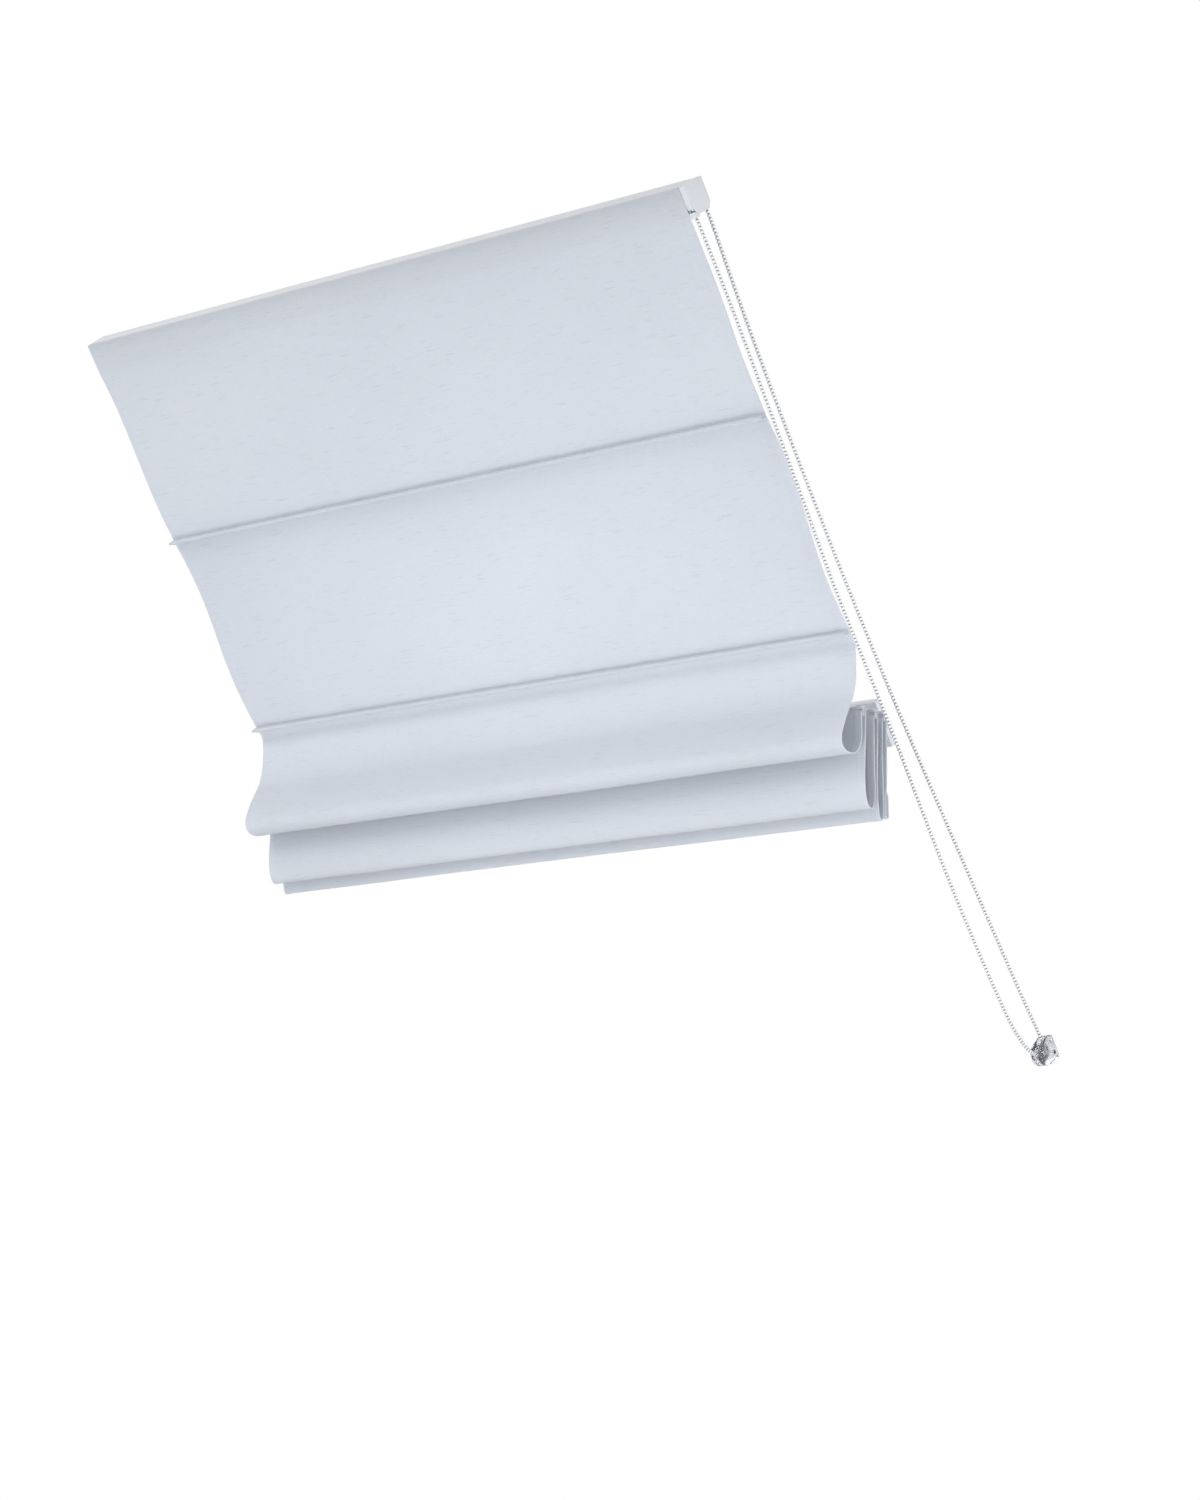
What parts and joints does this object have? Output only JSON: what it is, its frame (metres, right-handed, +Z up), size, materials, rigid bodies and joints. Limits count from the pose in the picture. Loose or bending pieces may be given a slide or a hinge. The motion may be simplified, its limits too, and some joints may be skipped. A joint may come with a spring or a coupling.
{
  "type": "skylight window blind",
  "caption": "Fabric roman blind for a sloping roof window, with a slim headrail, rodded tucks, gathered lower folds and a looped bead chain held by a clear tensioner.",
  "frame": {"origin": "middle of the middle ceiling bracket's back face, on the sloping ceiling", "axes": "+X along the blind's width towards the chain side, +Y towards the window, +Z up; the roof slope is 55 degrees from level"},
  "size_m": [1.0421, 0.7127, 0.9903],
  "materials": {
    "white_linen": "matt slub weave",
    "white_lacquered_metal": "satin lacquer",
    "white_plastic": "satin",
    "clear_plastic": "clear, slightly smoky",
    "white_cord": "braided",
    "glass_fibre_rod": "smooth",
    "bar_aluminium": "white coated",
    "bright_steel": "bright"
  },
  "bodies": {
    "frame": {"headrail": "white_lacquered_metal", "guide_bar": "white_lacquered_metal", "ceiling_bracket_left": "white_lacquered_metal", "ceiling_bracket_middle": "white_lacquered_metal", "ceiling_bracket_right": "white_lacquered_metal", "end_cap_left": "white_plastic", "drive_housing": "white_plastic", "drive_cover": "white_plastic", "bead_chain": "white_plastic", "guide_bar_end_left": "white_plastic", "guide_bar_end_right": "white_plastic", "spool_cradle_left": "white_plastic", "spool_cradle_middle": "white_plastic", "spool_cradle_right": "white_plastic", "cord_eyelet_left": "white_plastic", "cord_eyelet_middle": "white_plastic", "cord_eyelet_right": "white_plastic", "fabric_upper": "white_linen", "fabric_panel_3": "white_linen", "hook_and_loop_strip": "white_cord", "lift_cord_left": "white_cord", "lift_cord_middle": "white_cord", "lift_cord_right": "white_cord", "lift_cord_tail_left": "white_cord", "lift_cord_tail_middle": "white_cord", "lift_cord_tail_right": "white_cord", "ring_tape_1": "white_cord", "ring_tape_2": "white_cord", "batten_1": "glass_fibre_rod", "batten_2": "glass_fibre_rod", "tensioner_axle": "bright_steel", "tensioner_screw": "bright_steel", "tensioner_body": "clear_plastic", "tensioner_cover": "clear_plastic"},
    "drive_train": {"chain_sprocket": "white_plastic", "clutch_spring": "bright_steel", "clutch_hub": "white_plastic", "drive_shaft": "white_lacquered_metal", "cord_spool_left": "white_plastic", "cord_spool_middle": "white_plastic", "cord_spool_right": "white_plastic"},
    "fold_3": {"batten_3": "glass_fibre_rod", "ring_tape_3": "white_cord", "fabric_panel_4": "white_linen"},
    "fold_4": {"batten_4": "glass_fibre_rod", "ring_tape_4": "white_cord", "fabric_panel_5": "white_linen"},
    "fold_5": {"batten_5": "glass_fibre_rod", "ring_tape_5": "white_cord", "fabric_bottom_flap": "white_linen", "weight_bar": "bar_aluminium"},
    "wheel": {"tensioner_wheel": "clear_plastic"}
  },
  "joints": [
    {"name": "drive_turn", "type": "hinge", "parent": "frame", "child": "drive_train", "pos_m": [0, -0.01556, -0.0109], "axis": [1, 0, 0], "range_deg": [0, 4134]},
    {"name": "fold_3_slide", "type": "slide", "parent": "frame", "child": "fold_3", "axis": [0, 0, -1], "range_m": [0, 0.15], "deforming": ["fabric_panel_3", "lift_cord_tail_left", "lift_cord_tail_middle", "lift_cord_tail_right"]},
    {"name": "fold_4_slide", "type": "slide", "parent": "fold_3", "child": "fold_4", "axis": [0, 0, -1], "range_m": [0, 0.2482], "deforming": ["fabric_panel_4"]},
    {"name": "fold_5_slide", "type": "slide", "parent": "fold_4", "child": "fold_5", "axis": [0, 0, -1], "range_m": [0, 0.2652], "deforming": ["fabric_panel_5"]},
    {"name": "wheel_turn", "type": "hinge", "parent": "frame", "child": "wheel", "pos_m": [0.534, 0.6404, -0.95731], "axis": [1, 0, 0], "range_deg": [0, 5019]}
  ],
  "couplings": [
    {"joint": "fold_4_slide", "follows": "fold_3_slide", "ratio": 1.6533},
    {"joint": "fold_5_slide", "follows": "fold_3_slide", "ratio": 1.7667},
    {"joint": "drive_turn", "follows": "fold_3_slide", "rad_per_m": 480.55},
    {"joint": "wheel_turn", "follows": "fold_3_slide", "rad_per_m": 583.52}
  ]
}
